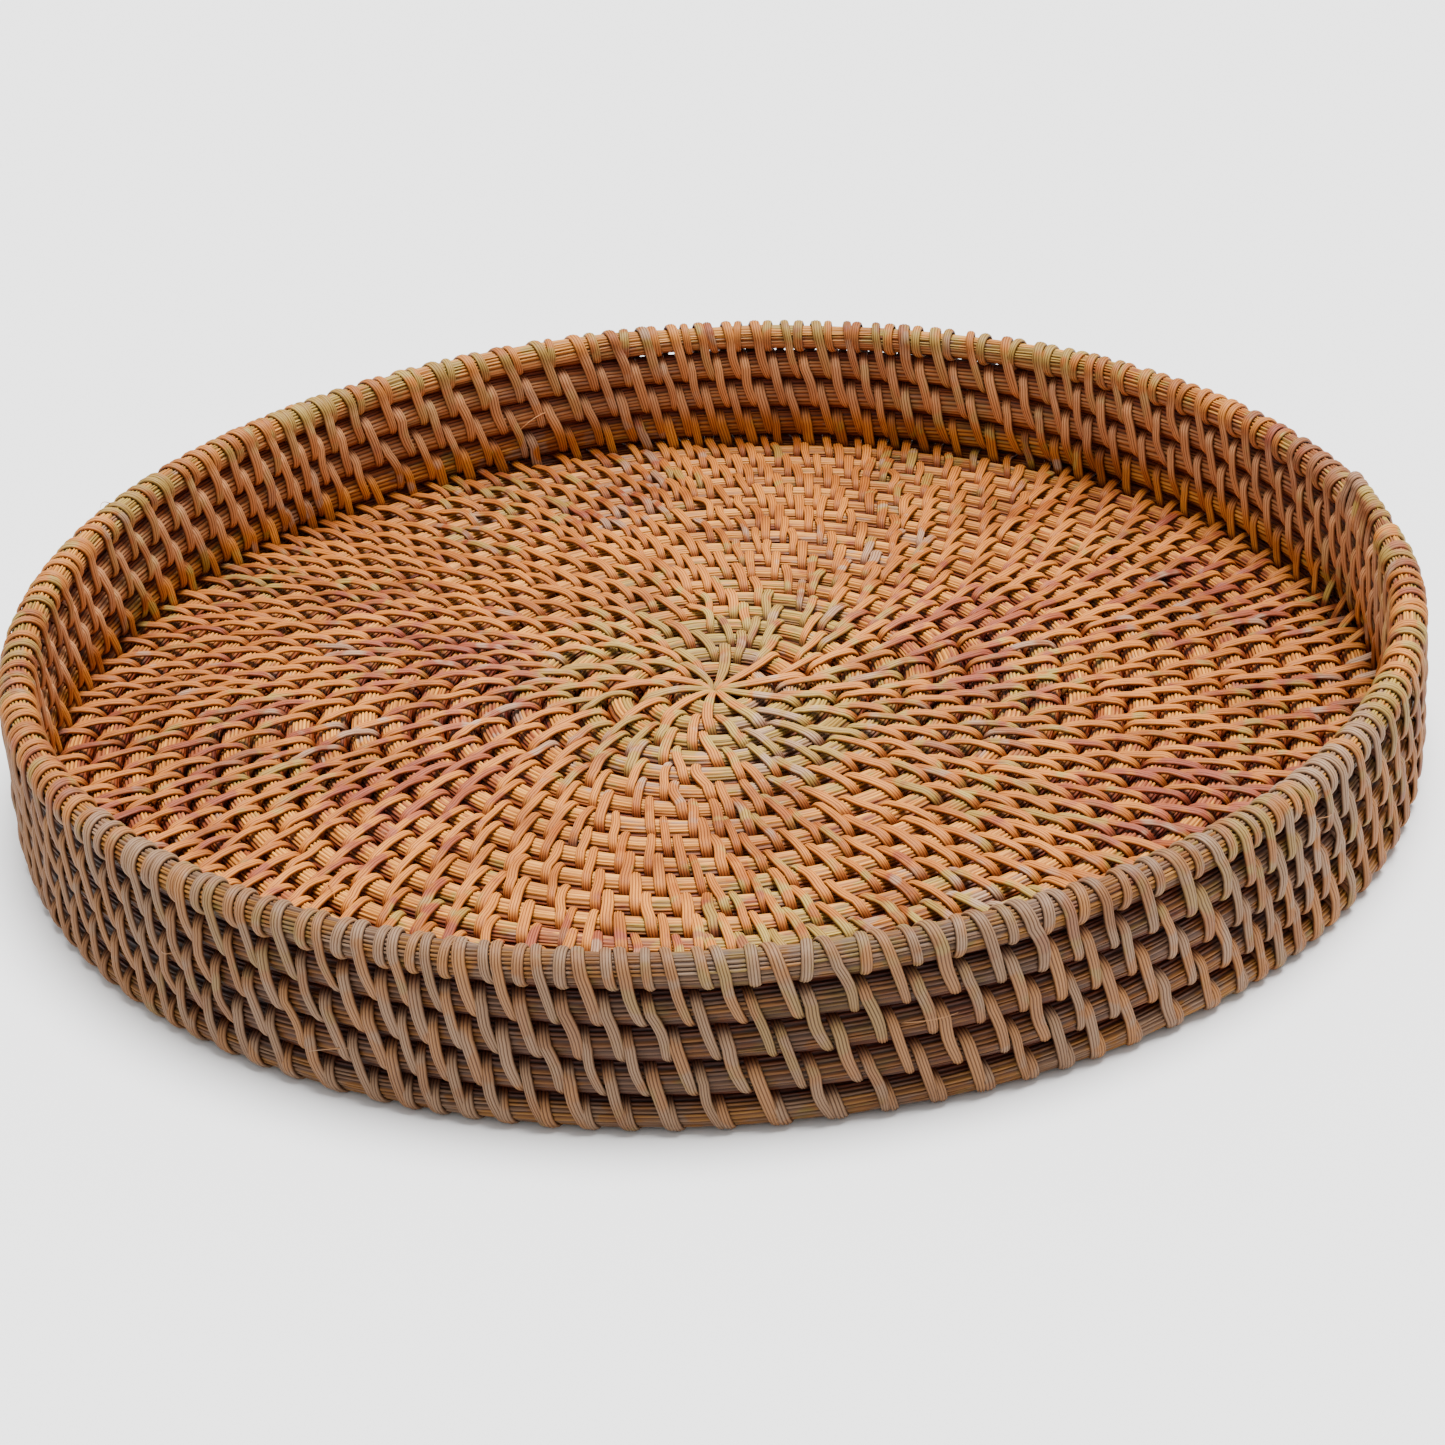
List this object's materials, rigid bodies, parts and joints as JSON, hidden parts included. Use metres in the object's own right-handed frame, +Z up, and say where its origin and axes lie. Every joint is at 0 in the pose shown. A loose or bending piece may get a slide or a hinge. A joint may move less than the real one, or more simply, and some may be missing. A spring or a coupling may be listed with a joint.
{
  "type": "winnowing basket",
  "caption": "Shallow round coiled rattan basket: spiral floor, low upright wall, every turn bound to the one before by slanted peeled-rattan stitches.",
  "frame": {"origin": "on the resting plane, under the middle of the basket", "axes": "+Z up, out of the open side; the coil runs anticlockwise outwards seen from above and its tail ends at an azimuth of about 12 degrees from +X"},
  "size_m": [0.3208, 0.32, 0.0416],
  "materials": {
    "rattan_bundle": "bundle of fine split rattan, dry, matt, warm tan with fine lengthwise ridges",
    "rattan_strip": "peeled rattan strip, satin, orange-tan with greenish, pinkish and grey lengths"
  },
  "bodies": {
    "root": {"start_coil": "rattan_bundle", "floor_coil_01": "rattan_bundle", "floor_coil_02": "rattan_bundle", "floor_coil_03": "rattan_bundle", "floor_coil_04": "rattan_bundle", "floor_coil_05": "rattan_bundle", "floor_coil_06": "rattan_bundle", "floor_coil_07": "rattan_bundle", "floor_coil_08": "rattan_bundle", "floor_coil_09": "rattan_bundle", "floor_coil_10": "rattan_bundle", "floor_coil_11": "rattan_bundle", "floor_coil_12": "rattan_bundle", "floor_coil_13": "rattan_bundle", "floor_coil_14": "rattan_bundle", "floor_coil_15": "rattan_bundle", "floor_coil_16": "rattan_bundle", "floor_coil_17": "rattan_bundle", "floor_coil_18": "rattan_bundle", "floor_coil_19": "rattan_bundle", "floor_coil_20": "rattan_bundle", "wall_coil_1": "rattan_bundle", "wall_coil_2": "rattan_bundle", "wall_coil_3": "rattan_bundle", "rim_coil": "rattan_bundle", "coil_tail": "rattan_bundle", "centre_star": "rattan_strip", "floor_stitches_02": "rattan_strip", "floor_stitches_03": "rattan_strip", "floor_stitches_04": "rattan_strip", "floor_stitches_05": "rattan_strip", "floor_stitches_06": "rattan_strip", "floor_stitches_07": "rattan_strip", "floor_stitches_08": "rattan_strip", "floor_stitches_09": "rattan_strip", "floor_stitches_10": "rattan_strip", "floor_stitches_11": "rattan_strip", "floor_stitches_12": "rattan_strip", "floor_stitches_13": "rattan_strip", "floor_stitches_14": "rattan_strip", "floor_stitches_15": "rattan_strip", "floor_stitches_16": "rattan_strip", "floor_stitches_17": "rattan_strip", "floor_stitches_18": "rattan_strip", "floor_stitches_19": "rattan_strip", "floor_stitches_20": "rattan_strip", "wall_stitches_1": "rattan_strip", "wall_stitches_2": "rattan_strip", "wall_stitches_3": "rattan_strip", "rim_stitches": "rattan_strip", "tail_stitches": "rattan_strip", "rim_wraps": "rattan_strip"}
  },
  "joints": []
}
